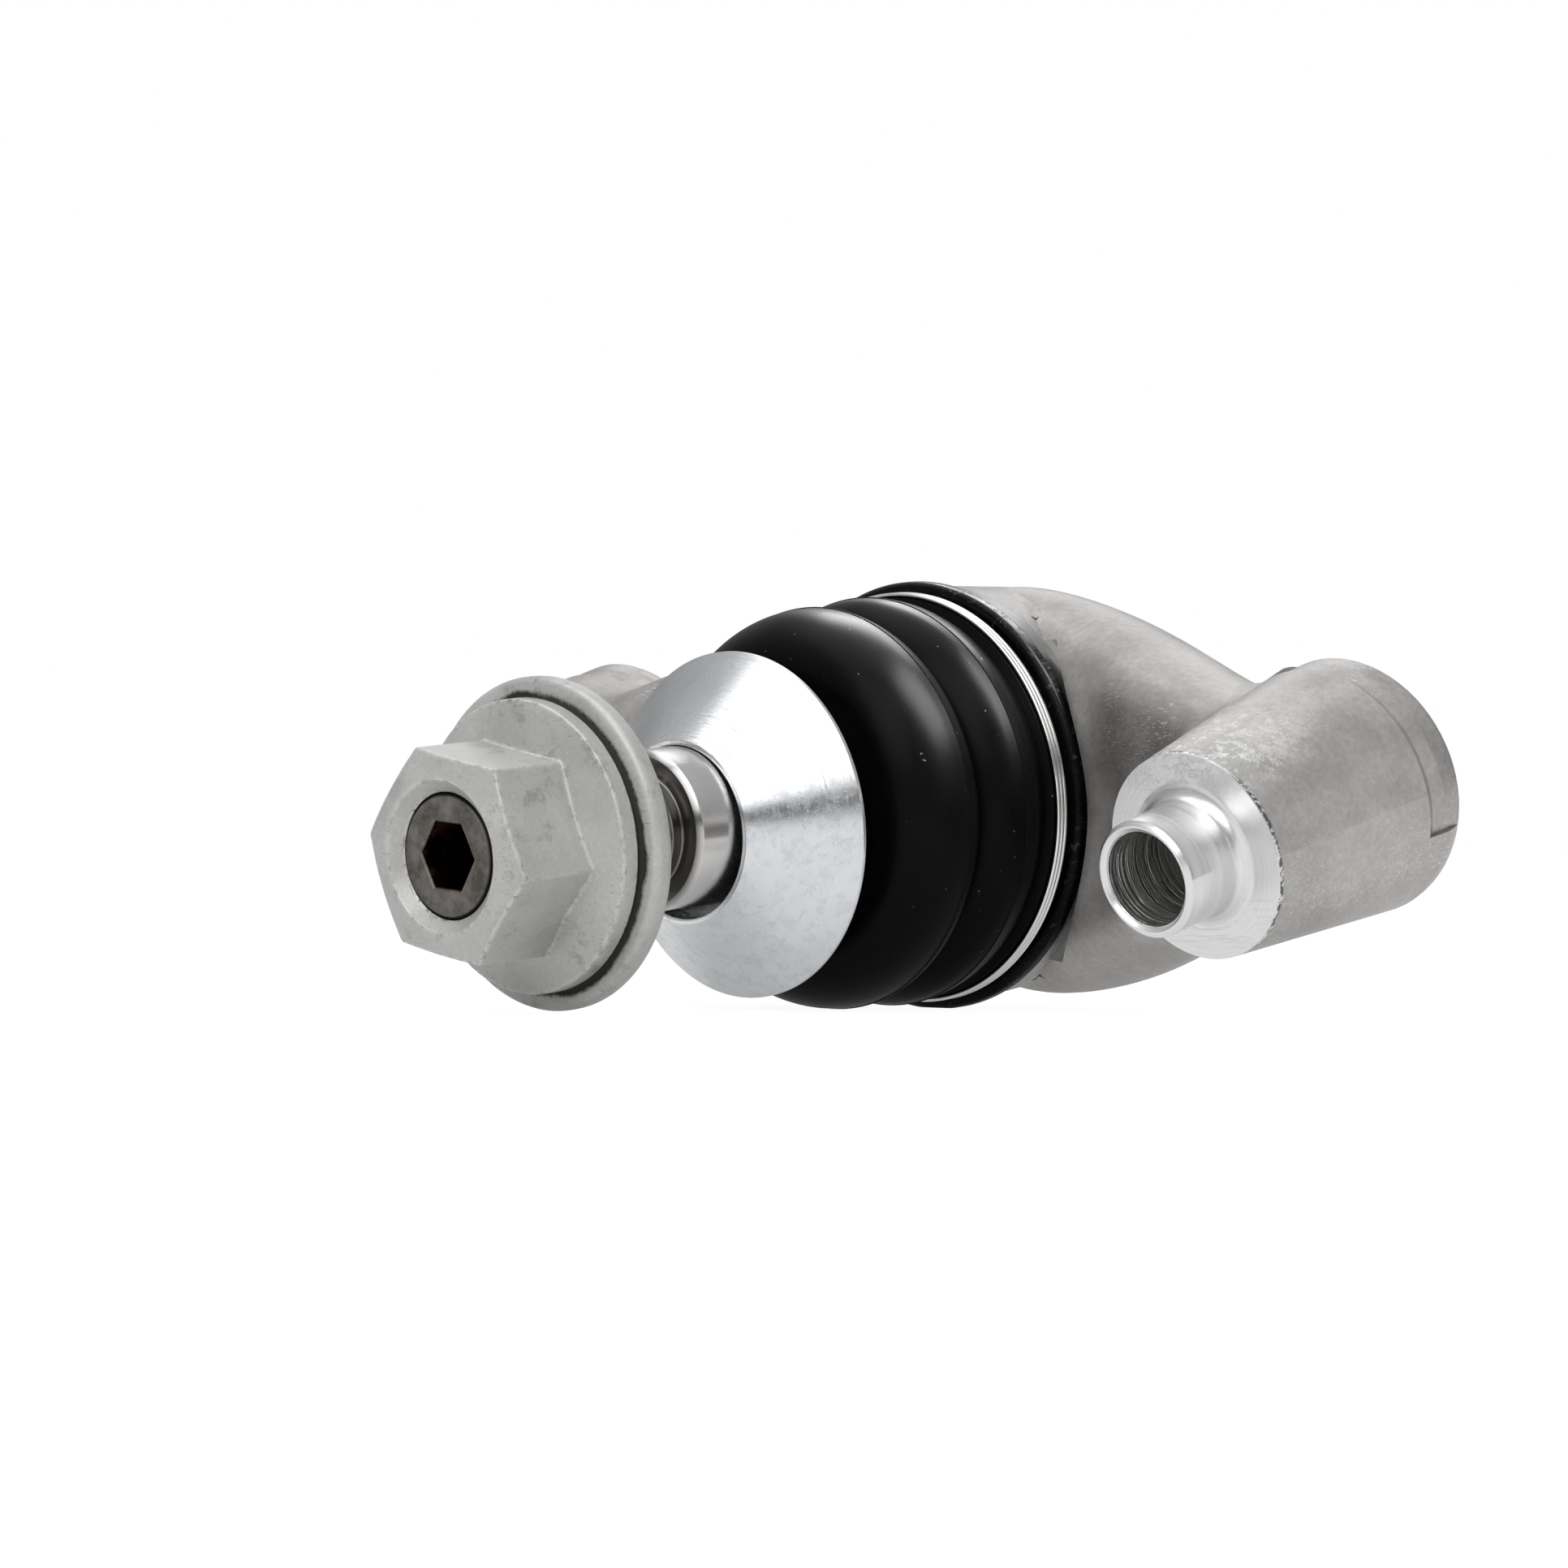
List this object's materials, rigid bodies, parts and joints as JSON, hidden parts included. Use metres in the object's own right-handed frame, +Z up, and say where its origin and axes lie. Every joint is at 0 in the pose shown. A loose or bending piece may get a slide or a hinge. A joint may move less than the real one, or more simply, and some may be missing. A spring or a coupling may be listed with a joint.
{
  "type": "suspension ball joint",
  "caption": "Ball joint with a two-arm cast housing: tilting and turning stud, rubber boot, cone ring and flange nut with washer.",
  "frame": {"origin": "centre of the ball, the point that the joint turns about", "axes": "+Z up; the stud points along -Y to its nut and the closed back of the housing faces +Y; the two arms run along X"},
  "size_m": [0.1378, 0.098, 0.0478],
  "materials": {
    "cast_aluminium": "as cast, shot blasted",
    "turned_aluminium": "turned, bright",
    "ground_steel": "ground and polished",
    "zinc_flake_steel": "matte zinc flake coating",
    "spring_wire": "bright drawn wire",
    "boot_rubber": "satin black",
    "bearing_plastic": "natural acetal"
  },
  "bodies": {
    "housing": {"housing": "cast_aluminium", "front_bearing_shell": "bearing_plastic", "rear_bearing_shell": "bearing_plastic", "closing_cover": "zinc_flake_steel", "boot_clamp_wire": "spring_wire"},
    "boot": {"dust_boot": "boot_rubber"},
    "boot_neck": {"boot_neck_ring": "spring_wire"},
    "stud": {"ball_stud": "ground_steel", "cone_ring": "turned_aluminium"},
    "washer": {"captive_washer": "zinc_flake_steel"},
    "nut": {"flange_nut": "zinc_flake_steel"}
  },
  "joints": [
    {"name": "stud_swing", "type": "hinge", "parent": "housing", "child": "boot", "pos_m": [0, 0, 0], "axis": [1, 0, 0], "range_deg": [-20, 20], "deforming": ["dust_boot"]},
    {"name": "stud_sway", "type": "hinge", "parent": "boot", "child": "boot_neck", "pos_m": [0, 0, 0], "axis": [0, 0, 1], "range_deg": [-20, 20], "deforming": ["dust_boot"]},
    {"name": "stud_spin", "type": "hinge", "parent": "boot_neck", "child": "stud", "pos_m": [0, 0, 0], "axis": [0, -1, 0], "continuous": true},
    {"name": "nut_advance", "type": "slide", "parent": "stud", "child": "washer", "axis": [0, -1, 0], "range_m": [-0.0115, 0.016]},
    {"name": "nut_turn", "type": "hinge", "parent": "washer", "child": "nut", "pos_m": [0, -0.07, 0], "axis": [0, -1, 0], "range_deg": [-2700, 3780]}
  ],
  "couplings": [
    {"joint": "nut_advance", "follows": "nut_turn", "m_per_rad": 0.00023873}
  ]
}
